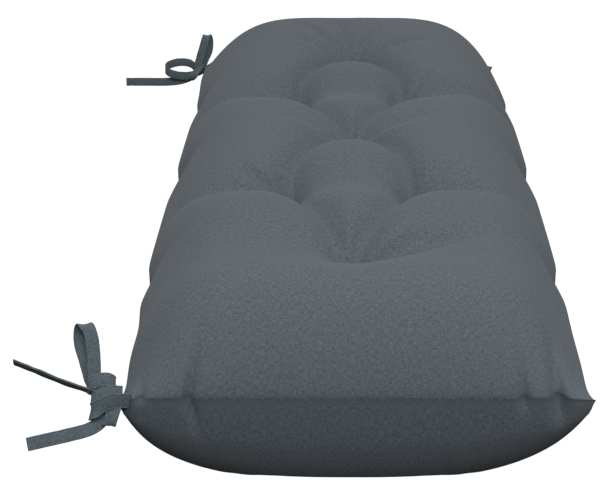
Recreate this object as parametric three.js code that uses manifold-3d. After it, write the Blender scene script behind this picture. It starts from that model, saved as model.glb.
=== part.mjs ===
// Tufted bench cushion with two cloth ties.
// Millimetres, +Z up. X is the width, Y the length, and the origin is the centre of the flat underside.
import * as THREE from 'three';
import { mergeVertices } from 'three/addons/utils/BufferGeometryUtils.js';
import Module from 'manifold-3d';

const wasm = await Module();
wasm.setup();

// Driving sizes of the cushion
const WIDTH = 500;
const LENGTH = 1200;
const SEAM_HEIGHT = 114;
const CROWN_HEIGHT = 114;
const UNDERSIDE_DEPTH = 132;
const SIDE_BOW = { left: 14, right: 19 };
const EAR = { left: 8, right: 12, reach: 16 };
const GAP = 0.3;
const SMALLEST_DETAIL = 0.02;

// Fullness of the padding: run is the distance from the seam to full height, power the roundness
const TOP_SIDE = { run: 250, power: 4.5 };
const TOP_NEAR_END = { run: 130, power: 2.4 };
const TOP_FAR_END = { run: 72, power: 2.4 };
const UNDER_SIDE = { run: 250, power: 2.6 };
const UNDER_END = { run: 50, power: 2.3 };

// Tufts stand in rows of one and two; a bowl is the shallow hollow round each tuft of the row
const PAIR_OFFSET = 80;
const PIT = { depth: 22, reach: 13 };
const TUFT_ROWS = [
  { row: -2, y: -400, sides: [0], bowl: 24, across: 190, along: 70 },
  { row: -1, y: -200, sides: [-1, 1], bowl: 16, across: 100, along: 50 },
  { row: 0, y: -14, sides: [0], bowl: 13, across: 50, along: 50 },
  { row: 1, y: 176, sides: [-1, 1], bowl: 18, across: 100, along: 55 },
  { row: 2, y: 356, sides: [0], bowl: 18, across: 60, along: 55 },
];

// The side seams are drawn in at these places, or let out where the depth is negative.
// This fades towards the middle by this power.
const NOTCH_FADE = 8;
const NOTCHES = [
  { side: -1, y: -590, depth: 4, reach: 90 },
  { side: -1, y: -440, depth: 6, reach: 60 },
  { side: -1, y: -322, depth: 10, reach: 34 },
  { side: -1, y: 18, depth: 14, reach: 38 },
  { side: -1, y: 322, depth: 9, reach: 34 },
  { side: -1, y: 560, depth: -14, reach: 120 },
  { side: 1, y: -570, depth: -7, reach: 90 },
  { side: 1, y: -322, depth: 12, reach: 30 },
  { side: 1, y: 18, depth: 15, reach: 36 },
  { side: 1, y: 322, depth: 9, reach: 34 },
];

// Folds of the top panel, with their depths at the start, half way and at the end.
// From each single tuft a front fold runs to both tufts in front, and a back fold to both behind.
const CREASE_ROUND = 9;
const FRONT_FOLD = { depths: [34, 26, 34], reach: 17, bulge: 0.9 };
const BACK_FOLD = { depths: [34, 24, 34], reach: 17, bulge: 0 };
const PAIR_FOLD = { depths: [6, 1, 6], reach: 20, bulge: 0 };
const FOLD_PARTS = 8;

// Side folds run from a tuft towards the side, to a place x and y
const SIDE_FOLD_REACH = 17;
const SIDE_FOLDS = [
  { row: -2, side: -1, x: -105, y: -322, depths: [26, 10, 0] },
  { row: -2, side: 1, x: 185, y: -320, depths: [28, 12, 0] },
  { row: -1, side: -1, x: -245, y: -195, depths: [32, 20, 6] },
  { row: -1, side: 1, x: 245, y: -200, depths: [32, 18, 3] },
  { row: 0, side: -1, x: -130, y: 50, depths: [26, 8, 0] },
  { row: 0, side: 1, x: 150, y: 45, depths: [26, 10, 0] },
  { row: 1, side: -1, x: -250, y: 185, depths: [28, 14, 3] },
  { row: 1, side: 1, x: 250, y: 218, depths: [28, 16, 18] },
];

// Mesh of the cushion: cells across and along
const CELLS_ACROSS = 38;
const CELLS_ALONG = 82;
const EVEN_SHARE = 0.6;

// Driving sizes of the ties: a step is the length of strap between two sections
const STRAP = { width: 15, thickness: 1.8, step: 6 };

// Each tie lies in a plane that leans back from its corner. A row is a point on the middle of the strap:
// right along the width of the cushion, up in the leaning plane, and out of that plane.
// Across is the direction of the strap's width at the two ends of a stretch.
const NEAR_TIE = {
  corner: { x: -1, y: -1 },
  start: { right: 11, up: 1 },
  lean: 32,
  stretches: [
    { name: 'root', wide: 1.2, across: [[0, 0.85, 0.53], [0.5, 1, 0.1]], rows: [
      { right: -1, up: -1, out: 0.6 }, { right: -5, up: -1, out: 3 }, { right: -18, up: -2, out: 7 },
      { right: -30, up: -6, out: 8 }, { right: -39, up: -12, out: 6 }, { right: -42, up: -14, out: 1 },
      { right: -37, up: -13, out: -4 }, { right: -28, up: -7, out: -5 },
    ] },
    { name: 'band', across: [[0, 1, 0], [0, 1, 0]], rows: [
      { right: -9, up: 8, out: 0 }, { right: -20, up: 8, out: 4 }, { right: -31, up: 7, out: 5 },
      { right: -40, up: 4, out: 2 }, { right: -42, up: 1, out: -4 }, { right: -34, up: 0, out: -7 },
    ] },
    { name: 'top band', across: [[-0.2, 1, 0], [-0.35, 0.94, 0]], rows: [
      { right: -20, up: 12, out: -7 }, { right: -18, up: 18, out: -3 }, { right: -24, up: 22, out: 3 },
      { right: -35, up: 21, out: 6 }, { right: -44, up: 17, out: 4 }, { right: -47, up: 14, out: -3 },
      { right: -38, up: 11, out: -6 },
    ] },
    { name: 'loop', across: [[0.95, 0.1, 0.3], [1, 0.05, -0.1]], rows: [
      { right: -40, up: 14, out: -4 }, { right: -46, up: 24, out: -7 }, { right: -52, up: 43, out: -10 },
      { right: -58, up: 62, out: -11 }, { right: -58, up: 75, out: -8 }, { right: -54, up: 81, out: -2 },
      { right: -48, up: 79, out: 3 }, { right: -43, up: 68, out: 6 }, { right: -40, up: 47, out: 6 },
      { right: -39, up: 26, out: 4 }, { right: -36, up: 16, out: 0 },
    ] },
    { name: 'upper tail', across: [[0.1, 0.3, 1], [0.1, 0.35, 1]], rows: [
      { right: -36, up: 6, out: -2 }, { right: -46, up: 10, out: -2 }, { right: -73, up: 19, out: 0 },
      { right: -100, up: 30, out: 1 }, { right: -128, up: 41, out: 1 },
    ] },
    { name: 'lower wrap', across: [[1, 0.2, 0], [1, -0.1, 0]], rows: [
      { right: -14, up: 4, out: -3 }, { right: -17, up: -9, out: 2 }, { right: -20, up: -19, out: 3 },
      { right: -23, up: -27, out: 0 }, { right: -25, up: -24, out: -5 }, { right: -23, up: -12, out: -6 },
    ] },
    { name: 'lower tail', across: [[-0.85, 0.5, 0], [-0.22, 1, 0]], rows: [
      { right: -24, up: -10, out: -5 }, { right: -29, up: -18, out: -4 }, { right: -35, up: -26, out: -2 },
      { right: -45, up: -32, out: 0 }, { right: -67, up: -38, out: 1 }, { right: -91, up: -43.5, out: 1 },
      { right: -111, up: -48, out: 0 },
    ] },
  ],
};
const FAR_TIE = {
  corner: { x: -1, y: 1 },
  start: { right: -15, up: -12 },
  lean: 18,
  stretches: [
    { name: 'root', across: [[0, 0.45, 0.89], [0.3, 1, 0.3]], rows: [
      { right: 14, up: 18, out: -1 }, { right: 4, up: 11, out: 0 }, { right: -8, up: 4, out: 1 },
      { right: -32, up: -5, out: 3 },
    ] },
    { name: 'knot', across: [[1, 0.6, 0], [1, 0.4, 0]], rows: [
      { right: -10, up: 16, out: -3 }, { right: -15, up: 6, out: 5 }, { right: -24, up: -5, out: 8 },
      { right: -33, up: -13, out: 4 }, { right: -32, up: -9, out: -5 },
    ] },
    { name: 'ring', across: [[0, 1, 0.2], [0, 1, 0.2]], rows: [
      { right: -18, up: 8, out: -3 }, { right: -32, up: 18, out: -12 }, { right: -52, up: 20, out: -17 },
      { right: -68, up: 16, out: -13 }, { right: -75, up: 9, out: 0 }, { right: -68, up: 1, out: 11 },
      { right: -52, up: -4, out: 13 }, { right: -36, up: -5, out: 8 }, { right: -22, up: -3, out: 3 },
    ] },
    { name: 'upright loop', across: [[1, -0.15, 0.1], [0.7, 0, -0.7]], rows: [
      { right: -16, up: 8, out: 1 }, { right: -13, up: 22, out: 3 }, { right: -6, up: 44, out: 5 },
      { right: 0, up: 64, out: 4 }, { right: 2, up: 68, out: 0 }, { right: 5, up: 61, out: -5 },
      { right: 4, up: 42, out: -9 }, { right: -4, up: 22, out: -8 }, { right: -12, up: 4, out: -5 },
    ] },
    { name: 'long tail', across: [[0.2, 1, 0.1], [0, 1, 0.1]], rows: [
      { right: -22, up: -2, out: 0 }, { right: -34, up: -9, out: 3 }, { right: -52, up: -14, out: 2 },
      { right: -74, up: -16, out: 0 }, { right: -110, up: -16, out: 0 }, { right: -148, up: -16, out: 0 },
    ] },
  ],
};

const fabric = new THREE.MeshStandardMaterial({ color: 0x59626c, roughness: 0.95, metalness: 0 });
const strapCloth = new THREE.MeshStandardMaterial({ color: 0x525b65, roughness: 0.95, metalness: 0 });

// Place of a tuft: the side counts only in the rows of two
function placeOf(row, side) {
  const found = TUFT_ROWS.find((candidate) => candidate.row === row);
  return { x: found.sides.length === 2 ? side * PAIR_OFFSET : 0, y: found.y };
}
const TUFTS = TUFT_ROWS.flatMap((found) => found.sides.map((side) => ({ ...found, ...placeOf(found.row, side) })));

// Stops along a run that bends outward
function stopsOf(from, to, bulge) {
  const outer = { x: (from.x + to.x) / 2, y: (from.y + to.y) / 2 };
  outer.x += bulge * (to.x - outer.x);
  outer.y += bulge * (from.y - outer.y);
  const parts = bulge ? FOLD_PARTS : 1;
  return Array.from({ length: parts + 1 }, (_, part) => {
    const t = part / parts;
    return {
      x: (1 - t) ** 2 * from.x + 2 * t * (1 - t) * outer.x + t ** 2 * to.x,
      y: (1 - t) ** 2 * from.y + 2 * t * (1 - t) * outer.y + t ** 2 * to.y,
    };
  });
}

function makeFolds() {
  const folds = [];
  for (const side of [-1, 1]) {
    for (const row of [-2, 0, 2]) {
      for (const [other, fold] of [[row - 1, FRONT_FOLD], [row + 1, BACK_FOLD]]) {
        if (Math.abs(other) === 1) folds.push({ from: placeOf(row, side), to: placeOf(other, side), ...fold });
      }
    }
  }
  for (const row of [-1, 1]) {
    folds.push({ from: placeOf(row, -1), to: placeOf(row, 1), ...PAIR_FOLD });
  }
  for (const { row, side, x, y, depths } of SIDE_FOLDS) {
    folds.push({ from: placeOf(row, side), to: { x, y }, depths, reach: SIDE_FOLD_REACH, bulge: 0 });
  }
  return folds.map((fold) => ({ ...fold, stops: stopsOf(fold.from, fold.to, fold.bulge) }));
}
const FOLDS = makeFolds();

// Height of an edge that rises from the seam at an angle, from 0 to 1 at full height
function slanted(distance, { run, power }) {
  return 1 - Math.pow(1 - Math.min(Math.max(distance / run, 0), 1), power);
}

// Height of an edge that drops straight from the seam and turns under, from 0 to 1 at full depth
function rounded(distance, edge) {
  return Math.pow(slanted(distance, edge), 1 / edge.power);
}

// Distance from the middle line to the seam of one side, before it is drawn in
function halfWidth(y, side) {
  const name = side > 0 ? 'right' : 'left';
  const ear = EAR[name] * Math.exp((Math.abs(y) - LENGTH / 2) / EAR.reach);
  return WIDTH / 2 + SIDE_BOW[name] * (1 - Math.pow(2 * y / LENGTH, 4)) + ear;
}

function drawnInAt(y, side) {
  let drawn = 0;
  for (const notch of NOTCHES) {
    if (notch.side === side) drawn += notch.depth * Math.exp(-Math.pow((y - notch.y) / notch.reach, 2));
  }
  return drawn;
}

// Depth profile of a drawn-in line or point: 1 in the narrow rounded bottom, with full cloth beside it
function crease(distance, reach) {
  return Math.exp(-(Math.hypot(distance, CREASE_ROUND) - CREASE_ROUND) / reach);
}

function depthOfFold(x, y, { stops, depths, reach }) {
  let nearest = Infinity;
  let along = 0;
  for (let part = 1; part < stops.length; part += 1) {
    const [a, b] = [stops[part - 1], stops[part]];
    const [dx, dy] = [b.x - a.x, b.y - a.y];
    const share = Math.min(Math.max(((x - a.x) * dx + (y - a.y) * dy) / (dx * dx + dy * dy), 0), 1);
    const distance = Math.hypot(x - a.x - share * dx, y - a.y - share * dy);
    if (distance < nearest) {
      nearest = distance;
      along = (part - 1 + share) / (stops.length - 1);
    }
  }
  const [first, middle, last] = depths;
  const ends = first * (1 - along) * (1 - 2 * along) + last * along * (2 * along - 1);
  return (ends + middle * 4 * along * (1 - along)) * crease(nearest, reach);
}

// Heights above and below the seam plane, where toSide and toEnd are the distances to the seam
function topHeight(x, y, toSide, toEnd) {
  const crown = slanted(toSide, TOP_SIDE) * slanted(toEnd, y < 0 ? TOP_NEAR_END : TOP_FAR_END);
  let drawnIn = 0;
  for (const tuft of TUFTS) {
    const [dx, dy] = [x - tuft.x, y - tuft.y];
    const bowl = Math.exp(-Math.pow(dx / tuft.across, 2) - Math.pow(dy / tuft.along, 2));
    drawnIn += PIT.depth * crease(Math.hypot(dx, dy), PIT.reach) + tuft.bowl * bowl;
  }
  let folded = 0;
  for (const fold of FOLDS) {
    folded = Math.max(folded, depthOfFold(x, y, fold));
  }
  return crown * (CROWN_HEIGHT - drawnIn - folded);
}

function undersideDepth(toSide, toEnd) {
  return UNDERSIDE_DEPTH * rounded(toSide, UNDER_SIDE) * rounded(toEnd, UNDER_END);
}

// Cells are closer together at the seams, where the padding turns over
function spread(index, cells) {
  const even = 2 * index / cells - 1;
  return EVEN_SHARE * even + (1 - EVEN_SHARE) * Math.sin(even * Math.PI / 2);
}

// The whole padded body, grown by a clearance where it is used to cut its neighbours
function paddedBody(clearance) {
  const positions = [];
  const indices = [];
  const columns = CELLS_ACROSS + 1;
  const layer = columns * (CELLS_ALONG + 1);
  for (const face of [1, -1]) {
    for (let j = 0; j <= CELLS_ALONG; j += 1) {
      for (let i = 0; i <= CELLS_ACROSS; i += 1) {
        const y = spread(j, CELLS_ALONG) * LENGTH / 2;
        const a = spread(i, CELLS_ACROSS);
        const side = Math.sign(a);
        const half = halfWidth(y, side);
        const x = a * half - side * drawnInAt(y, side) * Math.pow(Math.abs(a), NOTCH_FADE);
        const toSide = half * (1 - Math.abs(a));
        const toEnd = LENGTH / 2 - Math.abs(y);
        const height = face > 0 ? topHeight(x, y, toSide, toEnd) : undersideDepth(toSide, toEnd);
        positions.push(x * (1 + clearance / (WIDTH / 2)), y * (1 + clearance / (LENGTH / 2)));
        positions.push(SEAM_HEIGHT + face * (height + (height > 0 ? clearance : 0)));
      }
    }
  }
  for (const [face, start] of [[1, 0], [-1, layer]]) {
    for (let j = 0; j < CELLS_ALONG; j += 1) {
      for (let i = 0; i < CELLS_ACROSS; i += 1) {
        const a = start + j * columns + i;
        const [b, c, d] = [a + 1, a + columns + 1, a + columns];
        const flip = (i < CELLS_ACROSS / 2) !== (j < CELLS_ALONG / 2);
        const quad = flip ? [a, b, d, b, c, d] : [a, b, c, a, c, d];
        indices.push(...(face > 0 ? quad : quad.reverse()));
      }
    }
  }
  return solidFrom(positions, indices);
}

// Closed solid from loose triangles, with shared vertices merged
function solidFrom(positions, indices) {
  const geometry = new THREE.BufferGeometry();
  geometry.setAttribute('position', new THREE.Float32BufferAttribute(positions, 3));
  geometry.setIndex(indices);
  return solidOf(geometry);
}

function solidOf(geometry) {
  const bare = geometry.clone();
  bare.deleteAttribute('normal');
  bare.deleteAttribute('uv');
  const merged = mergeVertices(bare, 1e-3);
  const triangles = [];
  const source = merged.index.array;
  for (let t = 0; t < source.length; t += 3) {
    const [a, b, c] = [source[t], source[t + 1], source[t + 2]];
    if (a !== b && b !== c && c !== a) triangles.push(a, b, c);
  }
  return new wasm.Manifold(new wasm.Mesh({
    numProp: 3,
    vertProperties: new Float32Array(merged.attributes.position.array),
    triVerts: new Uint32Array(triangles),
  }));
}

function meshOf(solid, name, material) {
  const { vertProperties, triVerts } = solid.getMesh();
  const geometry = new THREE.BufferGeometry();
  geometry.setAttribute('position', new THREE.BufferAttribute(new Float32Array(vertProperties), 3));
  geometry.setIndex(new THREE.BufferAttribute(new Uint32Array(triVerts), 1));
  geometry.computeVertexNormals();
  const mesh = new THREE.Mesh(geometry, material);
  mesh.name = name;
  return mesh;
}

// Everything below the floor is cut away, which leaves the flat underside
function aboveFloor(solid) {
  const room = new THREE.BoxGeometry(2 * LENGTH, 2 * LENGTH, LENGTH);
  room.translate(0, 0, LENGTH / 2);
  return solid.intersect(solidOf(room));
}

// One flat stretch of strap, swept along its rows as a closed rectangle
function strapStretch(tie, { across, rows, wide: share = 1 }) {
  const lean = THREE.MathUtils.degToRad(tie.lean);
  const up = new THREE.Vector3(0, Math.sin(lean), Math.cos(lean));
  const out = new THREE.Vector3(0, -Math.cos(lean), Math.sin(lean));
  const corner = new THREE.Vector3(tie.corner.x * WIDTH / 2, tie.corner.y * LENGTH / 2, SEAM_HEIGHT);
  corner.x += tie.start.right;
  corner.addScaledVector(up, tie.start.up);
  const points = rows.map((row) => {
    const place = new THREE.Vector3(corner.x + row.right, corner.y, corner.z);
    return place.addScaledVector(up, row.up).addScaledVector(out, row.out);
  });
  const curve = new THREE.CatmullRomCurve3(points, false, 'centripetal');
  const steps = Math.max(4, Math.round(curve.getLength() / STRAP.step));
  const positions = [];
  const indices = [];
  for (let k = 0; k <= steps; k += 1) {
    const place = curve.getPointAt(k / steps);
    const tangent = curve.getTangentAt(k / steps);
    const blend = across[0].map((start, axis) => start + (across[1][axis] - start) * k / steps);
    const wide = new THREE.Vector3(blend[0], 0, 0).addScaledVector(up, blend[1]).addScaledVector(out, blend[2]);
    wide.addScaledVector(tangent, -wide.dot(tangent)).setLength(share * STRAP.width / 2);
    const thick = new THREE.Vector3().crossVectors(tangent, wide).setLength(STRAP.thickness / 2);
    for (const [side, face] of [[1, 1], [-1, 1], [-1, -1], [1, -1]]) {
      const vertex = place.clone().addScaledVector(wide, side).addScaledVector(thick, face);
      positions.push(vertex.x, vertex.y, vertex.z);
    }
    if (k < steps) {
      for (let side = 0; side < 4; side += 1) {
        const [a, b] = [4 * k + side, 4 * k + (side + 1) % 4];
        indices.push(a, b, b + 4, a, b + 4, a + 4);
      }
    }
  }
  const last = 4 * steps;
  indices.push(0, 2, 1, 0, 3, 2);
  indices.push(last, last + 1, last + 2, last, last + 2, last + 3);
  return solidFrom(positions, indices);
}

// A tie is one strap: its stretches are joined where they cross in the knot, and cut clear of the cushion
function tieSolid(tie) {
  const stretches = tie.stretches.map((stretch) => strapStretch(tie, stretch));
  const joined = stretches.reduce((whole, next) => whole.add(next));
  const pieces = joined.subtract(paddedBody(GAP)).decompose();
  const knotted = pieces.reduce((largest, piece) => (piece.volume() > largest.volume() ? piece : largest));
  return knotted.simplify(SMALLEST_DETAIL);
}

const group = new THREE.Group();
group.add(meshOf(aboveFloor(paddedBody(0)), 'cushion', fabric));
group.add(meshOf(tieSolid(NEAR_TIE), 'tie_near', strapCloth));
group.add(meshOf(tieSolid(FAR_TIE), 'tie_far', strapCloth));

export default group;
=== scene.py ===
"""Tufted bench cushion in slate grey woven cloth, with two knotted ties. Metres, in the part's frame."""
import math
import random

import bmesh
import bpy
import numpy as np
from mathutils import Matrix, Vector, noise


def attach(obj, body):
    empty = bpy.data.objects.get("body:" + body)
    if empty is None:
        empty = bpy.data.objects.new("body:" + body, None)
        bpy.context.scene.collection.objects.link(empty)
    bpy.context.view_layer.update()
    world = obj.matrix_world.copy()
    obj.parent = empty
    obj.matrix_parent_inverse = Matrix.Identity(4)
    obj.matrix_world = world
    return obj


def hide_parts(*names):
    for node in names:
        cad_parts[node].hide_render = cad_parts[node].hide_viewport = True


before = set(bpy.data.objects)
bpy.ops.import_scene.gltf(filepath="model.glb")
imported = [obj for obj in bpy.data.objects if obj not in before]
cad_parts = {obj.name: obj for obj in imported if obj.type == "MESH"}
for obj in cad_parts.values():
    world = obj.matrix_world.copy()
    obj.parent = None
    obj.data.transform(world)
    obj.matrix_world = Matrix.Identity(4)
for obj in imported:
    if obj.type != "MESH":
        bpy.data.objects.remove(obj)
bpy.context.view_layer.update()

# Keeps a division by a length of nought away
TINY = 1e-12

# Sizes of the padded body, as in the part's source but for four. Against the solid, END_ROUND makes the ends
# of the top a little fuller, UNDER_END makes those of the underside a little rounder, CREASE_ROUND makes the
# creases narrower at the bottom, and the side fold to the right of row -2 ends nearer and is deeper half way.
MM = 0.001
WIDTH = 500 * MM
LENGTH = 1200 * MM
SEAM_HEIGHT = 114 * MM
CROWN_HEIGHT = 114 * MM
UNDERSIDE_DEPTH = 132 * MM
SIDE_BOW = {"left": 14 * MM, "right": 19 * MM, "power": 4}
EAR = {"left": 8 * MM, "right": 12 * MM, "reach": 16 * MM}

# Fullness of the padding: run is the distance from the seam to full height, power the roundness
TOP_SIDE = {"run": 250 * MM, "power": 4.5}
TOP_NEAR_END = {"run": 130 * MM, "power": 2.4}
TOP_FAR_END = {"run": 72 * MM, "power": 2.4}
END_ROUND = 0.86
UNDER_SIDE = {"run": 250 * MM, "power": 2.6}
UNDER_END = {"run": 52 * MM, "power": 2.2}

# Tufts stand in rows of one and two; a bowl is the shallow hollow round each tuft of the row
PAIR_OFFSET = 80 * MM
PIT = {"depth": 22 * MM, "reach": 13 * MM}
TUFT_ROWS = [
    {"row": -2, "y": -400 * MM, "sides": [0], "bowl": 24 * MM, "across": 190 * MM, "along": 70 * MM},
    {"row": -1, "y": -200 * MM, "sides": [-1, 1], "bowl": 16 * MM, "across": 100 * MM, "along": 50 * MM},
    {"row": 0, "y": -14 * MM, "sides": [0], "bowl": 13 * MM, "across": 50 * MM, "along": 50 * MM},
    {"row": 1, "y": 176 * MM, "sides": [-1, 1], "bowl": 18 * MM, "across": 100 * MM, "along": 55 * MM},
    {"row": 2, "y": 356 * MM, "sides": [0], "bowl": 18 * MM, "across": 60 * MM, "along": 55 * MM},
]

# The side seams are drawn in at these places, or let out where the depth is negative.
# This fades towards the middle by this power.
NOTCH_FADE = 8
NOTCHES = [
    {"side": -1, "y": -590 * MM, "depth": 4 * MM, "reach": 90 * MM},
    {"side": -1, "y": -440 * MM, "depth": 6 * MM, "reach": 60 * MM},
    {"side": -1, "y": -322 * MM, "depth": 10 * MM, "reach": 34 * MM},
    {"side": -1, "y": 18 * MM, "depth": 14 * MM, "reach": 38 * MM},
    {"side": -1, "y": 322 * MM, "depth": 9 * MM, "reach": 34 * MM},
    {"side": -1, "y": 560 * MM, "depth": -14 * MM, "reach": 120 * MM},
    {"side": 1, "y": -570 * MM, "depth": -7 * MM, "reach": 90 * MM},
    {"side": 1, "y": -322 * MM, "depth": 12 * MM, "reach": 30 * MM},
    {"side": 1, "y": 18 * MM, "depth": 15 * MM, "reach": 36 * MM},
    {"side": 1, "y": 322 * MM, "depth": 9 * MM, "reach": 34 * MM},
]

# Folds of the top panel: depths at the start, half way and at the end, and how far the run bends outward.
# From each single tuft a front fold runs to both tufts in front, and a back fold to both behind.
CREASE_ROUND = 5 * MM
FOLD_PARTS = 8
FRONT_FOLD = {"depths": (34 * MM, 26 * MM, 34 * MM), "reach": 17 * MM, "bulge": 0.9}
BACK_FOLD = {"depths": (34 * MM, 24 * MM, 34 * MM), "reach": 17 * MM, "bulge": 0.0}
PAIR_FOLD = {"depths": (6 * MM, 1 * MM, 6 * MM), "reach": 20 * MM, "bulge": 0.0}
# Side folds run from a tuft towards the side, to a place x and y
SIDE_FOLD_REACH = 17 * MM
SIDE_FOLDS = [
    {"row": -2, "side": -1, "x": -105 * MM, "y": -322 * MM, "depths": (26 * MM, 10 * MM, 0 * MM)},
    {"row": -2, "side": 1, "x": 185 * MM, "y": -352 * MM, "depths": (28 * MM, 20 * MM, 0 * MM)},
    {"row": -1, "side": -1, "x": -245 * MM, "y": -195 * MM, "depths": (32 * MM, 20 * MM, 6 * MM)},
    {"row": -1, "side": 1, "x": 245 * MM, "y": -200 * MM, "depths": (32 * MM, 18 * MM, 3 * MM)},
    {"row": 0, "side": -1, "x": -130 * MM, "y": 50 * MM, "depths": (26 * MM, 8 * MM, 0 * MM)},
    {"row": 0, "side": 1, "x": 150 * MM, "y": 45 * MM, "depths": (26 * MM, 10 * MM, 0 * MM)},
    {"row": 1, "side": -1, "x": -250 * MM, "y": 185 * MM, "depths": (28 * MM, 14 * MM, 3 * MM)},
    {"row": 1, "side": 1, "x": 250 * MM, "y": 218 * MM, "depths": (28 * MM, 16 * MM, 18 * MM)},
]

# The camera of the photograph, found by fitting the cushion's outline: pixels, metres, radians,
# and millimetres for the sensor
FRAME_WIDTH = 600
FOCAL_PIXELS = 1446
CENTRE_PIXEL = 350.5
CAMERA_BACK = 1359 * MM
CAMERA_ABOVE_SEAM = 806 * MM
CAMERA_PITCH = 0.43
SENSOR = 36


def make_camera():
    """The camera looks along the length of the cushion, downwards."""
    data = bpy.data.cameras.new("photo_camera")
    camera = bpy.data.objects.new("photo_camera", data)
    bpy.context.scene.collection.objects.link(camera)
    data.sensor_fit = "HORIZONTAL"
    data.sensor_width = SENSOR
    data.lens = FOCAL_PIXELS * SENSOR / FRAME_WIDTH
    data.shift_x = (FRAME_WIDTH / 2 - CENTRE_PIXEL) / FRAME_WIDTH
    camera.location = (0, -LENGTH / 2 - CAMERA_BACK, SEAM_HEIGHT + CAMERA_ABOVE_SEAM)
    camera.rotation_euler = (math.pi / 2 - CAMERA_PITCH, 0, 0)
    bpy.context.scene.camera = camera


def tuft_row(row):
    return TUFT_ROWS[row - TUFT_ROWS[0]["row"]]


def place_of(row, side):
    """Place of a tuft: the side counts only in the rows of two."""
    found = tuft_row(row)
    return (side * PAIR_OFFSET if len(found["sides"]) == 2 else 0, found["y"])


def tufts():
    """Place of every tuft with its row of the table."""
    return [(place_of(found["row"], side), found) for found in TUFT_ROWS for side in found["sides"]]


def folds():
    """Start, end and form of every fold."""
    found = []
    for row in (-2, 0, 2):
        for other, fold in ((row - 1, FRONT_FOLD), (row + 1, BACK_FOLD)):
            if abs(other) < 2:
                found += [(place_of(row, side), place_of(other, side), fold) for side in (-1, 1)]
    for row in (-1, 1):
        found.append((place_of(row, -1), place_of(row, 1), PAIR_FOLD))
    for fold in SIDE_FOLDS:
        form = {"depths": fold["depths"], "reach": SIDE_FOLD_REACH, "bulge": 0.0}
        found.append((place_of(fold["row"], fold["side"]), (fold["x"], fold["y"]), form))
    return found


def slanted(distance, run, power):
    """Height of an edge that rises from the seam at an angle, from 0 to 1 at full height."""
    return 1 - (1 - np.clip(distance / run, 0, 1)) ** power


def rounded(distance, run, power):
    """Height of an edge that drops straight from the seam and turns under, from 0 to 1 at full depth."""
    return slanted(distance, run, power) ** (1 / power)


def half_width(y, side):
    """Distance from the middle line to the seam of one side, before it is drawn in."""
    to_end = LENGTH / 2 - np.abs(y)
    name = "right" if side > 0 else "left"
    bow = SIDE_BOW[name] * (1 - (2 * y / LENGTH) ** SIDE_BOW["power"])
    return WIDTH / 2 + bow + EAR[name] * np.exp(-to_end / EAR["reach"])


def drawn_in_at(y, side):
    """How far the notches draw the seam of one side in."""
    notches = [notch for notch in NOTCHES if notch["side"] == side]
    return sum(notch["depth"] * np.exp(-(((y - notch["y"]) / notch["reach"]) ** 2)) for notch in notches)


def run_stops(start, end, bulge):
    """Places along a run, which bends outward where it has a bulge."""
    middle = [(start[k] + end[k]) / 2 for k in (0, 1)]
    corner = (end[0], start[1])
    outer = [middle[k] + bulge * (corner[k] - middle[k]) for k in (0, 1)]
    parts = FOLD_PARTS if bulge else 1
    stops = []
    for t in (step / parts for step in range(parts + 1)):
        first, second, third = (1 - t) ** 2, 2 * t * (1 - t), t * t
        stops.append([first * start[k] + second * outer[k] + third * end[k] for k in (0, 1)])
    return stops


def distance_to_run(x, y, start, end, bulge=0.0):
    """Distance to a run that may bend outward, and how far along it, from 0 to 1."""
    stops = run_stops(start, end, bulge)
    parts = len(stops) - 1
    nearest, share = np.full_like(x, np.inf), np.zeros_like(x)
    for part, (a, b) in enumerate(zip(stops, stops[1:])):
        dx, dy = b[0] - a[0], b[1] - a[1]
        along = np.clip(((x - a[0]) * dx + (y - a[1]) * dy) / (dx * dx + dy * dy), 0, 1)
        distance = np.hypot(x - a[0] - along * dx, y - a[1] - along * dy)
        share = np.where(distance < nearest, (part + along) / parts, share)
        nearest = np.minimum(nearest, distance)
    return nearest, share


def crease(distance, reach):
    """Depth of a drawn-in line or point: 1 at its rounded bottom, fading to 0 in the full cloth."""
    return np.exp(-(np.hypot(distance, CREASE_ROUND) - CREASE_ROUND) / reach)


def top_height(x, y, to_side, to_end):
    """Height of the top panel above the seam."""
    at_end = np.where(y < 0, slanted(to_end, **TOP_NEAR_END), slanted(to_end, **TOP_FAR_END))
    crown = slanted(to_side, **TOP_SIDE) * at_end ** END_ROUND
    drawn_in = np.zeros_like(x)
    for (tx, ty), row in tufts():
        bowl = np.exp(-(((x - tx) / row["across"]) ** 2) - ((y - ty) / row["along"]) ** 2)
        drawn_in += PIT["depth"] * crease(np.hypot(x - tx, y - ty), PIT["reach"]) + row["bowl"] * bowl
    folded = np.zeros_like(x)
    for start, end, fold in folds():
        distance, along = distance_to_run(x, y, start, end, fold["bulge"])
        first, middle, last = fold["depths"]
        depth = first * (1 - along) * (1 - 2 * along)
        depth += middle * 4 * along * (1 - along)
        depth += last * along * (2 * along - 1)
        folded = np.maximum(folded, depth * crease(distance, fold["reach"]))
    return crown * (CROWN_HEIGHT - drawn_in - folded)


def underside_depth(to_side, to_end):
    """Depth of the bottom panel below the seam, before the ground flattens it."""
    return UNDERSIDE_DEPTH * rounded(to_side, **UNDER_SIDE) * rounded(to_end, **UNDER_END)


# Cells of the simulated cover across and along. The finished cover has twice as many each way, and EDGE_LINES
# more beside the seam.
CELLS_ACROSS = 72
CELLS_ALONG = 132
EVEN_SHARE = 0.35


def spread(cells):
    """Cell lines from -1 to 1, closer together at the seams."""
    even = np.linspace(-1, 1, cells + 1)
    return EVEN_SHARE * even + (1 - EVEN_SHARE) * np.sin(even * math.pi / 2)


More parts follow.
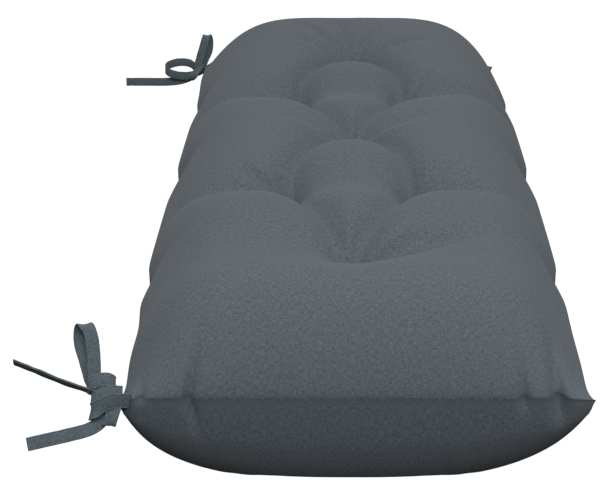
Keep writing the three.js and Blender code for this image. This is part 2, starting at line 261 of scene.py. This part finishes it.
def plan_grid(across, along):
    """Places of the cell corners seen from above, and their distances to the side and end seams."""
    a, b = np.meshgrid(spread(across), spread(along))
    y = b * LENGTH / 2
    half = np.where(a < 0, half_width(y, -1), half_width(y, 1))
    notch = np.where(a < 0, drawn_in_at(y, -1), drawn_in_at(y, 1))
    x = a * half - np.sign(a) * notch * np.abs(a) ** NOTCH_FADE
    return x, y, half * (1 - np.abs(a)), LENGTH / 2 - np.abs(y)


def panels(across, along):
    """Top and bottom panel as grids of points that share their outline."""
    x, y, to_side, to_end = plan_grid(across, along)
    top = np.stack([x, y, SEAM_HEIGHT + top_height(x, y, to_side, to_end)], axis=-1)
    low = np.maximum(SEAM_HEIGHT - underside_depth(to_side, to_end), 0)
    return top, np.stack([x, y, low], axis=-1)


def panel_indices(along, across):
    """Vertex numbers of both panels: the bottom shares the outline of the top."""
    top = np.arange((along + 1) * (across + 1)).reshape(along + 1, across + 1)
    bottom = top.copy()
    inner = (along - 1) * (across - 1)
    bottom[1:-1, 1:-1] = top.size + np.arange(inner).reshape(along - 1, across - 1)
    return top, bottom


def cover_mesh(name, top, bottom, cloth_uv=None):
    """Closed mesh of the two panels. The weave follows cloth_uv, the cut panels laid flat, in metres."""
    along, across = top.shape[0] - 1, top.shape[1] - 1
    top_ids, bottom_ids = panel_indices(along, across)
    points = np.concatenate([top.reshape(-1, 3), bottom[1:-1, 1:-1].reshape(-1, 3)])
    quads, corners = [], []
    for ids, order in ((top_ids, (0, 1, 2, 3)), (bottom_ids, (3, 2, 1, 0))):
        ring = [ids[:-1, :-1], ids[:-1, 1:], ids[1:, 1:], ids[1:, :-1]]
        quads.append(np.stack([ring[k] for k in order], axis=-1).reshape(-1, 4))
        flat = np.arange(ids.size).reshape(ids.shape)
        spots = [flat[:-1, :-1], flat[:-1, 1:], flat[1:, 1:], flat[1:, :-1]]
        corners.append(np.stack([spots[k] for k in order], axis=-1).reshape(-1))
    quads = np.concatenate(quads)
    mesh = bpy.data.meshes.new(name)
    mesh.from_pydata(points.tolist(), [], quads.tolist())
    if cloth_uv is not None:
        layer = mesh.uv_layers.new(name="cloth")
        flat_uv = [uv.reshape(-1, 2)[spots] for uv, spots in zip(cloth_uv, corners)]
        layer.data.foreach_set("uv", np.concatenate(flat_uv).reshape(-1).astype(np.float32))
    mesh.shade_smooth()
    mesh.update()
    piece = bpy.data.objects.new(name, mesh)
    bpy.context.scene.collection.objects.link(piece)
    return piece


# The cover is filled by pressure while the thread holds it at the tufts and the seam. It starts a little
# below its height, and no point moves further than the most swell. A tuft holds at least its nearest point.
FILL_FRAMES = 20
FILL_PRESSURE = 3.0
THREAD_HOLD = 7 * MM
NEAREST_SHARE = 1.01
MOST_SWELL = 7 * MM
SWELL_ROOM = 0.98


def fill_cover(top, bottom):
    """Swells the cover with Blender's cloth, and returns both panels as they settle."""
    piece = cover_mesh("filling", top, bottom)
    along, across = top.shape[0] - 1, top.shape[1] - 1
    top_ids, bottom_ids = panel_indices(along, across)
    held = np.zeros(len(piece.data.vertices))
    held[bottom_ids.reshape(-1)] = 1
    held[np.concatenate([top_ids[0], top_ids[-1], top_ids[:, 0], top_ids[:, -1]])] = 1
    flat = top.reshape(-1, 3)
    for (tx, ty), _ in tufts():
        reach = np.hypot(flat[:, 0] - tx, flat[:, 1] - ty)
        held[: flat.shape[0]][reach < max(THREAD_HOLD, reach.min() * NEAREST_SHARE)] = 1
    group = piece.vertex_groups.new(name="held")
    group.add(np.nonzero(held)[0].tolist(), 1.0, "REPLACE")

    cloth = piece.modifiers.new("fill", "CLOTH")
    settings = cloth.settings
    settings.quality = 6
    settings.mass = 0.3
    settings.tension_stiffness = 15
    settings.compression_stiffness = 10
    settings.shear_stiffness = 5
    settings.bending_stiffness = 4.0
    settings.vertex_group_mass = "held"
    settings.pin_stiffness = 1.0
    settings.use_pressure = True
    settings.uniform_pressure_force = FILL_PRESSURE
    settings.effector_weights.gravity = 0
    cloth.collision_settings.use_self_collision = False
    cloth.collision_settings.use_collision = False
    cloth.point_cache.frame_start = 1
    cloth.point_cache.frame_end = FILL_FRAMES

    scene = bpy.context.scene
    for step in range(1, FILL_FRAMES + 1):
        scene.frame_set(step)
    shape = piece.evaluated_get(bpy.context.evaluated_depsgraph_get())
    settled = np.zeros(len(shape.data.vertices) * 3)
    shape.data.vertices.foreach_get("co", settled)
    settled = settled.reshape(-1, 3)
    scene.frame_set(1)
    bpy.data.objects.remove(piece)
    move = settled[top_ids] - top
    size = np.linalg.norm(move, axis=-1, keepdims=True)
    return top + move * np.minimum(1, MOST_SWELL / np.maximum(size, TINY)), bottom


def twice_as_fine(grid):
    """Cubic points between the points of a grid, first along one way and then the other."""
    for axis in (0, 1):
        rows = np.moveaxis(grid, axis, 0)
        first = 3 * rows[:1] - 3 * rows[1:2] + rows[2:3]
        last = 3 * rows[-1:] - 3 * rows[-2:-1] + rows[-3:-2]
        wide = np.concatenate([first, rows, last])
        middle = (-wide[:-3] + 9 * wide[1:-2] + 9 * wide[2:-1] - wide[3:]) / 16
        finer = np.empty((2 * rows.shape[0] - 1,) + rows.shape[1:])
        finer[::2] = rows
        finer[1::2] = middle
        grid = np.moveaxis(finer, 0, axis)
    return grid


def outward(grid, up):
    """Unit normals of a grid of points, on its upper side or its lower side."""
    across = np.gradient(grid, axis=1)
    along = np.gradient(grid, axis=0)
    normal = np.cross(across, along) * (1 if up else -1)
    return normal / np.maximum(np.linalg.norm(normal, axis=-1, keepdims=True), TINY)


# Grid lines beside the seam, counted in cells, and the groove where the thread pulls the seam in
EDGE_LINES = np.array([0, 0.25, 0.5, 0.75, 1, 1.5])
SEAM_GROOVE = {"depth": 2.0 * MM, "reach": 1.2 * MM}

# Places at which the length of cloth from the seam is added up
CLOTH_PLACES = 3000


def lines_at_seams(grid):
    """More grid lines beside the outline, for the narrow groove of the seam."""
    for axis in (0, 1):
        rows = np.moveaxis(grid, axis, 0)
        last = rows.shape[0] - 1
        spots = np.concatenate([EDGE_LINES, np.arange(2, last - 1), last - EDGE_LINES[::-1]])
        low = np.minimum(spots.astype(int), last - 1)
        share = (spots - low).reshape(-1, 1, 1)
        grid = np.moveaxis(rows[low] * (1 - share) + rows[low + 1] * share, 0, axis)
    return grid


def cloth_from_seam(distance, height, edge, profile):
    """Length of cloth between the seam and a place this far in from it."""
    reach = np.linspace(0, LENGTH / 2, CLOTH_PLACES)
    steps = np.hypot(np.diff(reach), np.diff(height * profile(reach, **edge)))
    return np.interp(distance, reach, np.concatenate([[0], np.cumsum(steps)]))


def laid_flat(x, y, to_side, to_end, height, side, end, profile):
    """Where each point lies on the cut panel, measured from its middle."""
    spots = []
    for place, to_seam, edge in ((x, to_side, side), (y, to_end, end)):
        whole = cloth_from_seam(to_seam + np.abs(place), height, edge, profile)
        spots.append(np.sign(place) * (whole - cloth_from_seam(to_seam, height, edge, profile)))
    return np.stack(spots, axis=-1)


# Fine gathers of the top panel: each runs from a tuft to a place x and y. Its width starts as a share of its
# reach and grows along the way, and it fades out at both ends by this power.
PLEAT_WIDTH = {"start": 0.6, "growth": 0.7}
PLEAT_FADE = 0.7
PLEATS = [
    {"row": 2, "side": 0, "x": -90 * MM, "y": 500 * MM, "depth": 6 * MM, "reach": 7 * MM},
    {"row": 2, "side": 0, "x": -110 * MM, "y": 425 * MM, "depth": 3 * MM, "reach": 7 * MM},
    {"row": 2, "side": 0, "x": -28 * MM, "y": 520 * MM, "depth": 8 * MM, "reach": 13 * MM},
    {"row": 2, "side": 0, "x": 58 * MM, "y": 470 * MM, "depth": 7 * MM, "reach": 8 * MM},
    {"row": 2, "side": 0, "x": 135 * MM, "y": 415 * MM, "depth": 7 * MM, "reach": 9 * MM},
    {"row": 1, "side": -1, "x": -135 * MM, "y": 225 * MM, "depth": 5 * MM, "reach": 8 * MM},
    {"row": 1, "side": 1, "x": 125 * MM, "y": 246 * MM, "depth": 7 * MM, "reach": 8 * MM},
    {"row": 0, "side": 0, "x": -78 * MM, "y": 62 * MM, "depth": 5 * MM, "reach": 10 * MM},
    {"row": 0, "side": 0, "x": 72 * MM, "y": 66 * MM, "depth": 4 * MM, "reach": 9 * MM},
    {"row": -1, "side": -1, "x": -156 * MM, "y": -150 * MM, "depth": 8 * MM, "reach": 7 * MM},
    {"row": -1, "side": -1, "x": -104 * MM, "y": -130 * MM, "depth": 3 * MM, "reach": 8 * MM},
    {"row": -1, "side": 1, "x": 136 * MM, "y": -148 * MM, "depth": 6 * MM, "reach": 8 * MM},
    {"row": -2, "side": 0, "x": -60 * MM, "y": -330 * MM, "depth": 4 * MM, "reach": 6 * MM},
    {"row": -2, "side": 0, "x": 14 * MM, "y": -320 * MM, "depth": 3 * MM, "reach": 8 * MM},
    {"row": -2, "side": 0, "x": 96 * MM, "y": -352 * MM, "depth": 5 * MM, "reach": 7 * MM},
]


def gather(top):
    """Sinks the gathers into the top panel."""
    x, y = top[..., 0], top[..., 1]
    sunk = np.zeros_like(x)
    for pleat in PLEATS:
        start = place_of(pleat["row"], pleat["side"])
        distance, along = distance_to_run(x, y, start, (pleat["x"], pleat["y"]))
        width = pleat["reach"] * (PLEAT_WIDTH["start"] + PLEAT_WIDTH["growth"] * along)
        fade = np.sin(math.pi * along) ** PLEAT_FADE
        sunk = np.maximum(sunk, pleat["depth"] * fade * np.exp(-((distance / width) ** 2)))
    return top - outward(top, True) * sunk[..., None]


# Puckers of the near seam: x at the seam, how far a metre of height shifts it above and below the seam,
# half width, reach above and below, and depth; a negative depth is a small ridge. They stay in the near end,
# beyond this share of the length from the middle.
PUCKER_ZONE = 0.4
PUCKER_COLUMNS = ("x", "shift_above", "shift_below", "half", "above", "below", "depth")
PUCKERS = [
    (-0.177, 0.16, -0.22, 0.0050, 0.052, 0.034, 0.010),
    (0.189, -0.09, -0.06, 0.0050, 0.042, 0.014, 0.008),
    (0.227, -0.10, -0.10, 0.0080, 0.042, 0.024, 0.015),
    (0.110, 0.0, 0.0, 0.0035, 0.034, 0.030, -0.002),
    (-0.229, 0.10, 0.0, 0.0050, 0.016, 0.003, 0.006),
]


def sew(top, bottom, to_side, to_end):
    """Draws both panels in at their seam, with the puckers across the near one."""
    near = np.minimum(to_side, to_end)
    groove = SEAM_GROOVE["depth"] * np.exp(-near / SEAM_GROOVE["reach"])
    inward_x = np.where(to_side < to_end, -np.sign(top[..., 0]), 0)
    inward_y = np.where(to_side < to_end, 0, -np.sign(top[..., 1]))
    inward = np.stack([inward_x, inward_y, np.zeros_like(inward_x)], axis=-1)
    sewn = []
    for panel in (top, bottom):
        x, y, rise = panel[..., 0], panel[..., 1], panel[..., 2] - SEAM_HEIGHT
        sunk = np.zeros_like(x)
        for row in PUCKERS:
            pucker = dict(zip(PUCKER_COLUMNS, row))
            shift = np.where(rise > 0, pucker["shift_above"], pucker["shift_below"])
            reach = np.where(rise > 0, pucker["above"], pucker["below"])
            across = (x - pucker["x"] - shift * rise) / pucker["half"]
            sunk += pucker["depth"] * np.exp(-(across ** 2) - (rise / reach) ** 2)
        sunk *= np.where(y < -PUCKER_ZONE * LENGTH, 1, 0)
        panel = panel + inward * groove[..., None]
        panel[..., 1] += sunk
        sewn.append(panel)
    return sewn


def make_cushion(material):
    """The padded cover: filled, with its gathers sunk in and its seam sewn."""
    top, bottom = panels(CELLS_ACROSS, CELLS_ALONG)
    top[..., 2] = SEAM_HEIGHT + (top[..., 2] - SEAM_HEIGHT) * SWELL_ROOM
    top, bottom = fill_cover(top, bottom)
    distances = np.stack(plan_grid(CELLS_ACROSS, CELLS_ALONG)[2:], axis=-1)
    top, bottom, distances = (lines_at_seams(twice_as_fine(grid)) for grid in (top, bottom, distances))
    to_side, to_end = np.maximum(distances[..., 0], 0), np.maximum(distances[..., 1], 0)
    bottom[..., 2] = np.maximum(bottom[..., 2], 0)
    x, y = bottom[..., 0], bottom[..., 1]
    weaves = (laid_flat(x, y, to_side, to_end, CROWN_HEIGHT, TOP_SIDE, TOP_NEAR_END, slanted),
              laid_flat(x, y, to_side, to_end, UNDERSIDE_DEPTH, UNDER_SIDE, UNDER_END, rounded))
    top, bottom = sew(gather(top), bottom, to_side, to_end)
    piece = cover_mesh("cushion_cover", top, bottom, weaves)
    piece.data.materials.append(material)
    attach(piece, "root")
    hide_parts("cushion")


# The strap of the ties is thicker than the solid's. A step is the length of strap between two sections, and
# the curve between two points of the route is measured in this many parts.
STRAP = {"width": 15 * MM, "thickness": 2.4 * MM, "step": 1.5 * MM}
FEWEST_STEPS = 6
CURVE_PARTS = 24

# Half of the strap's section: share of the half width and of the half thickness, with a stitched groove
STRAP_SECTION = [(0.0, 1.0), (0.45, 1.0), (0.62, 0.95), (0.70, 0.62), (0.78, 0.95), (0.90, 0.95), (0.97, 0.6)]

# Unevenness of the strap: it twists, narrows and bends by noise, with waves of these lengths
STRAP_SEED = 5
NOISE_SPAN = 100
TWIST = {"angle": math.radians(7), "wave": 14 * MM}
NARROWING = 0.04
BEND = {"depth": 0.35 * MM, "wave": 9 * MM, "noise_place": (7, 3)}

# The ties' routes, the same as in the part's source: each lies in a plane that leans back from its corner.
# A row is a point on the middle of the strap, in mm. Across is where its width points, at both ends.
ROW_COLUMNS = ("right", "up", "out")
NEAR_TIE = {
    "corner": (-1, -1),
    "start": (11, 1),
    "lean": 32,
    "stretches": [
        {"name": "root", "wide": 1.2, "across": [(0, 0.85, 0.53), (0.5, 1, 0.1)], "rows": [
            (-1, -1, 0.6), (-5, -1, 3), (-18, -2, 7), (-30, -6, 8), (-39, -12, 6), (-42, -14, 1),
            (-37, -13, -4), (-28, -7, -5),
        ]},
        {"name": "band", "wide": 1, "across": [(0, 1, 0), (0, 1, 0)], "rows": [
            (-9, 8, 0), (-20, 8, 4), (-31, 7, 5), (-40, 4, 2), (-42, 1, -4), (-34, 0, -7),
        ]},
        {"name": "top band", "wide": 1, "across": [(-0.2, 1, 0), (-0.35, 0.94, 0)], "rows": [
            (-20, 12, -7), (-18, 18, -3), (-24, 22, 3), (-35, 21, 6), (-44, 17, 4), (-47, 14, -3),
            (-38, 11, -6),
        ]},
        {"name": "loop", "wide": 1, "across": [(0.95, 0.1, 0.3), (1, 0.05, -0.1)], "rows": [
            (-40, 14, -4), (-46, 24, -7), (-52, 43, -10), (-58, 62, -11), (-58, 75, -8), (-54, 81, -2),
            (-48, 79, 3), (-43, 68, 6), (-40, 47, 6), (-39, 26, 4), (-36, 16, 0),
        ]},
        {"name": "upper tail", "wide": 1, "across": [(0.1, 0.3, 1), (0.1, 0.35, 1)], "rows": [
            (-36, 6, -2), (-46, 10, -2), (-73, 19, 0), (-100, 30, 1), (-128, 41, 1),
        ]},
        {"name": "lower wrap", "wide": 1, "across": [(1, 0.2, 0), (1, -0.1, 0)], "rows": [
            (-14, 4, -3), (-17, -9, 2), (-20, -19, 3), (-23, -27, 0), (-25, -24, -5), (-23, -12, -6),
        ]},
        {"name": "lower tail", "wide": 1, "across": [(-0.85, 0.5, 0), (-0.22, 1, 0)], "rows": [
            (-24, -10, -5), (-29, -18, -4), (-35, -26, -2), (-45, -32, 0), (-67, -38, 1), (-91, -43.5, 1),
            (-111, -48, 0),
        ]},
    ],
}
FAR_TIE = {
    "corner": (-1, 1),
    "start": (-15, -12),
    "lean": 18,
    "stretches": [
        {"name": "root", "wide": 1, "across": [(0, 0.45, 0.89), (0.3, 1, 0.3)], "rows": [
            (14, 18, -1), (4, 11, 0), (-8, 4, 1), (-32, -5, 3),
        ]},
        {"name": "knot", "wide": 1, "across": [(1, 0.6, 0), (1, 0.4, 0)], "rows": [
            (-10, 16, -3), (-15, 6, 5), (-24, -5, 8), (-33, -13, 4), (-32, -9, -5),
        ]},
        {"name": "ring", "wide": 1, "across": [(0, 1, 0.2), (0, 1, 0.2)], "rows": [
            (-18, 8, -3), (-32, 18, -12), (-52, 20, -17), (-68, 16, -13), (-75, 9, 0), (-68, 1, 11),
            (-52, -4, 13), (-36, -5, 8), (-22, -3, 3),
        ]},
        {"name": "upright loop", "wide": 1, "across": [(1, -0.15, 0.1), (0.7, 0, -0.7)], "rows": [
            (-16, 8, 1), (-13, 22, 3), (-6, 44, 5), (0, 64, 4), (2, 68, 0), (5, 61, -5), (4, 42, -9),
            (-4, 22, -8), (-12, 4, -5),
        ]},
        {"name": "long tail", "wide": 1, "across": [(0.2, 1, 0.1), (0, 1, 0.1)], "rows": [
            (-22, -2, 0), (-34, -9, 3), (-52, -14, 2), (-74, -16, 0), (-110, -16, 0), (-148, -16, 0),
        ]},
    ],
}


def smooth_run(points, step):
    """Evenly spaced places along a centripetal curve through the points, with the curve's length."""
    points = [2 * points[0] - points[1], *points, 2 * points[-1] - points[-2]]
    fine = []
    for a, b, c, d in zip(points, points[1:], points[2:], points[3:]):
        d0, d1, d2 = ((q - p).length ** 0.5 for p, q in ((a, b), (b, c), (c, d)))
        first = ((b - a) / d0 - (c - a) / (d0 + d1) + (c - b) / d1) * d1
        last = ((c - b) / d1 - (d - b) / (d1 + d2) + (d - c) / d2) * d1
        square = 3 * (c - b) - 2 * first - last
        cube = 2 * (b - c) + first + last
        for t in (k / CURVE_PARTS for k in range(CURVE_PARTS)):
            fine.append(b + t * first + t * t * square + t ** 3 * cube)
    fine.append(points[-2])
    lengths = np.concatenate([[0], np.cumsum([(q - p).length for p, q in zip(fine, fine[1:])])])
    count = max(FEWEST_STEPS, round(lengths[-1] / step))
    even = np.linspace(0, lengths[-1], count + 1)
    places = np.stack([np.interp(even, lengths, [p[axis] for p in fine]) for axis in range(3)], axis=-1)
    return [Vector(place) for place in places], lengths[-1]


def section_ring():
    """Corners of the strap's section, once round, in shares of its half width and half thickness."""
    quarter = STRAP_SECTION + [(1.0, 0.0)]
    right = quarter + [(u, -v) for u, v in reversed(quarter[:-1])]
    return right + [(-u, v) for u, v in reversed(right[1:-1])]


def strap_sections(places, length, axes, stretch, turn):
    """Corners of the strap's section at each place of a stretch. Turn picks its part of the noise."""
    ring = section_ring()
    half_thick = STRAP["thickness"] / 2
    shift, row = BEND["noise_place"]
    sections = []
    for k, place in enumerate(places):
        share = k / (len(places) - 1)
        before, after = places[max(k - 1, 0)], places[min(k + 1, len(places) - 1)]
        tangent = (after - before).normalized()
        blend = [a + (b - a) * share for a, b in zip(*stretch["across"])]
        wide = axes[0] * blend[0] + axes[1] * blend[1] + axes[2] * blend[2]
        wide = (wide - tangent * wide.dot(tangent)).normalized()
        thick = tangent.cross(wide)
        wave = noise.noise(Vector((turn, 0, share * length / TWIST["wave"])))
        cos, sin = math.cos(TWIST["angle"] * wave), math.sin(TWIST["angle"] * wave)
        wide, thick = wide * cos + thick * sin, thick * cos - wide * sin
        half_wide = STRAP["width"] / 2 * stretch["wide"] * (1 - NARROWING * abs(wave))
        bend = BEND["depth"] * noise.noise(Vector((turn + shift, row, share * length / BEND["wave"])))
        sections.append([place + wide * u * half_wide + thick * (v * half_thick + bend * (1 - u * u))
                         for u, v in ring])
    return sections


def skin_strap(made, sections, length):
    """Faces between the sections of a stretch and over both of its ends, with the weave along the strap."""
    uv_layer = made.loops.layers.uv["cloth"]
    ring = section_ring()
    loops = [[made.verts.new(spot) for spot in section] for section in sections]
    for k, (one, two) in enumerate(zip(loops, loops[1:])):
        for i in range(len(ring)):
            j = (i + 1) % len(ring)
            face = made.faces.new((one[i], one[j], two[j], two[i]))
            for loop, (spot, along) in zip(face.loops, ((i, k), (j, k), (j, k + 1), (i, k + 1))):
                u = ring[spot][0] * STRAP["width"] / 2
                loop[uv_layer].uv = (u, along * length / (len(loops) - 1))
    made.faces.new(list(reversed(loops[0])))
    made.faces.new(loops[-1])


def make_tie(name, tie, material):
    """A folded and stitched strap, knotted: its stretches cross in the knot. Returns it with its length."""
    draw = random.Random(STRAP_SEED)
    lean = math.radians(tie["lean"])
    right = Vector((1, 0, 0))
    up = Vector((0, math.sin(lean), math.cos(lean)))
    out = Vector((0, -math.cos(lean), math.sin(lean)))
    corner = Vector((tie["corner"][0] * WIDTH / 2, tie["corner"][1] * LENGTH / 2, SEAM_HEIGHT))
    corner += (right * tie["start"][0] + up * tie["start"][1]) * MM
    made = bmesh.new()
    made.loops.layers.uv.new("cloth")
    total = 0
    for stretch in tie["stretches"]:
        rows = [dict(zip(ROW_COLUMNS, row)) for row in stretch["rows"]]
        points = [corner + (right * row["right"] + up * row["up"] + out * row["out"]) * MM for row in rows]
        places, length = smooth_run(points, STRAP["step"])
        total += length
        turn = draw.uniform(0, NOISE_SPAN)
        skin_strap(made, strap_sections(places, length, (right, up, out), stretch, turn), length)
    bmesh.ops.recalc_face_normals(made, faces=made.faces)
    mesh = bpy.data.meshes.new(name)
    made.to_mesh(mesh)
    made.free()
    mesh.shade_smooth()
    mesh.materials.append(material)
    piece = bpy.data.objects.new(name, mesh)
    bpy.context.scene.collection.objects.link(piece)
    return piece, total


def node(tree, kind, inputs=None, **settings):
    """One shader node with its settings and its input values or links."""
    made = tree.nodes.new(kind)
    for name, value in settings.items():
        setattr(made, name, value)
    for name, value in (inputs or {}).items():
        if isinstance(value, bpy.types.NodeSocket):
            tree.links.new(value, made.inputs[name])
        else:
            made.inputs[name].default_value = value
    return made


# Width of a thread, and how many times longer than wide its uneven stretches are
THREAD = 1.3 * MM
SLUB = 4


def woven_cloth(name, dark, light):
    """Plain weave of slightly uneven yarns, darker and lighter, with a fine raised thread pattern."""
    material = bpy.data.materials.new(name)
    material.use_nodes = True
    tree = material.node_tree
    tree.nodes.clear()
    place = node(tree, "ShaderNodeTexCoord").outputs["UV"]
    yarns = []
    for stretch in ((1 / THREAD, 1 / (SLUB * THREAD), 1), (1 / (SLUB * THREAD), 1 / THREAD, 1)):
        mapped = node(tree, "ShaderNodeMapping", {"Vector": place, "Scale": stretch})
        yarns.append(node(tree, "ShaderNodeTexNoise",
                          {"Vector": mapped.outputs[0], "Scale": 1.0, "Detail": 1.5, "Roughness": 0.5}))
    both = node(tree, "ShaderNodeMath", {0: yarns[0].outputs[0], 1: yarns[1].outputs[0]}, operation="ADD")
    tone = node(tree, "ShaderNodeMapRange", {"Value": both.outputs[0], "From Min": 0.75, "From Max": 1.25})
    colour = node(tree, "ShaderNodeMix", {"Factor": tone.outputs[0], "A": dark, "B": light}, data_type="RGBA")
    bump = node(tree, "ShaderNodeBump", {"Height": both.outputs[0], "Strength": 0.25, "Distance": 0.4 * MM})
    shader = node(tree, "ShaderNodeBsdfPrincipled",
                  {"Base Color": colour.outputs["Result"], "Roughness": 0.92, "Sheen Weight": 0.12,
                   "Sheen Roughness": 0.5, "Specular IOR Level": 0.2, "Normal": bump.outputs[0]})
    node(tree, "ShaderNodeOutputMaterial", {"Surface": shader.outputs[0]})
    return material


# The sky grows from dark to bright between these heights, as the sine of the angle above the horizon
SKY_BRIGHT = 0.60
SKY_DARK = 0.0
SKY_FADE = {"From Min": 0.05, "From Max": 0.45}
SKY_LOW = (0.62, 0.95, 1.0, 1)
SKY_HIGH = (1, 1, 1, 1)

# The white floor and walls: half of the floor's width, which is also the height of the walls, and their grey
# below the glow
STAGE_SIZE = 30
PAPER_GREY = (0.1, 0.1, 0.1, 1)
PAPER_GLOW = (1, 1, 1, 1)

# The studio light: place and size in metres, power in watts
KEY_LIGHT = {"place": (0.5, -2.7, 3.1), "size": (2.0, 2.0), "power": 70}


def make_sky():
    """Light from all round above, fading out towards the horizon."""
    world = bpy.data.worlds.new("studio")
    world.use_nodes = True
    tree = world.node_tree
    tree.nodes.clear()
    direction = node(tree, "ShaderNodeTexCoord").outputs["Generated"]
    height = node(tree, "ShaderNodeSeparateXYZ", {0: direction}).outputs["Z"]
    share = node(tree, "ShaderNodeMapRange", {"Value": height, **SKY_FADE},
                 interpolation_type="SMOOTHSTEP").outputs[0]
    bright = node(tree, "ShaderNodeMapRange", {"Value": share, "To Min": SKY_DARK, "To Max": SKY_BRIGHT})
    colour = node(tree, "ShaderNodeMix", {"Factor": share, "A": SKY_LOW, "B": SKY_HIGH}, data_type="RGBA")
    back = node(tree, "ShaderNodeBackground",
                {"Color": colour.outputs["Result"], "Strength": bright.outputs[0]})
    node(tree, "ShaderNodeOutputWorld", {"Surface": back.outputs[0]})
    bpy.context.scene.world = world


def make_key_light():
    """One soft light in front and above, turned to the middle of the underside."""
    data = bpy.data.lights.new("key_light", "AREA")
    data.shape = "RECTANGLE"
    data.size, data.size_y = KEY_LIGHT["size"]
    data.energy = KEY_LIGHT["power"]
    light = bpy.data.objects.new("key_light", data)
    light.location = KEY_LIGHT["place"]
    light.rotation_euler = (-Vector(KEY_LIGHT["place"])).to_track_quat("-Z", "Y").to_euler()
    bpy.context.scene.collection.objects.link(light)


def make_stage():
    """White floor and walls, which throw no light on the cushion, with the sky and the studio light."""
    mesh = bpy.data.meshes.new("floor")
    square = [(-STAGE_SIZE, -STAGE_SIZE), (STAGE_SIZE, -STAGE_SIZE),
              (STAGE_SIZE, STAGE_SIZE), (-STAGE_SIZE, STAGE_SIZE)]
    walls = [(k, (k + 1) % 4, 4 + (k + 1) % 4, 4 + k) for k in range(4)]
    mesh.from_pydata([(x, y, z) for z in (0, STAGE_SIZE) for x, y in square], [], [(0, 1, 2, 3)] + walls)
    floor = bpy.data.objects.new("floor", mesh)
    bpy.context.scene.collection.objects.link(floor)
    paper = bpy.data.materials.new("paper")
    paper.use_nodes = True
    shader = paper.node_tree.nodes["Principled BSDF"]
    shader.inputs["Base Color"].default_value = PAPER_GREY
    shader.inputs["Emission Color"].default_value = PAPER_GLOW
    shader.inputs["Emission Strength"].default_value = 1.0
    shader.inputs["Roughness"].default_value = 0.9
    mesh.materials.append(paper)
    floor.visible_diffuse = False
    floor.visible_glossy = False
    floor.visible_shadow = False
    make_sky()
    bpy.context.scene.view_settings.view_transform = "Standard"
    make_key_light()


# Darker and lighter yarns of the cover and of the ties
COVER_DARK = (0.082, 0.098, 0.114, 1)
COVER_LIGHT = (0.148, 0.170, 0.193, 1)
TIE_DARK = (0.078, 0.104, 0.120, 1)
TIE_LIGHT = (0.140, 0.176, 0.198, 1)

make_camera()
make_stage()
cover_cloth = woven_cloth("cover_cloth", COVER_DARK, COVER_LIGHT)
make_cushion(cover_cloth)
tie_cloth = woven_cloth("tie_cloth", TIE_DARK, TIE_LIGHT)
for name, tie in (("tie_near", NEAR_TIE), ("tie_far", FAR_TIE)):
    strap, strap_length = make_tie(name + "_strap", tie, tie_cloth)
    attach(strap, "root")
    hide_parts(name)
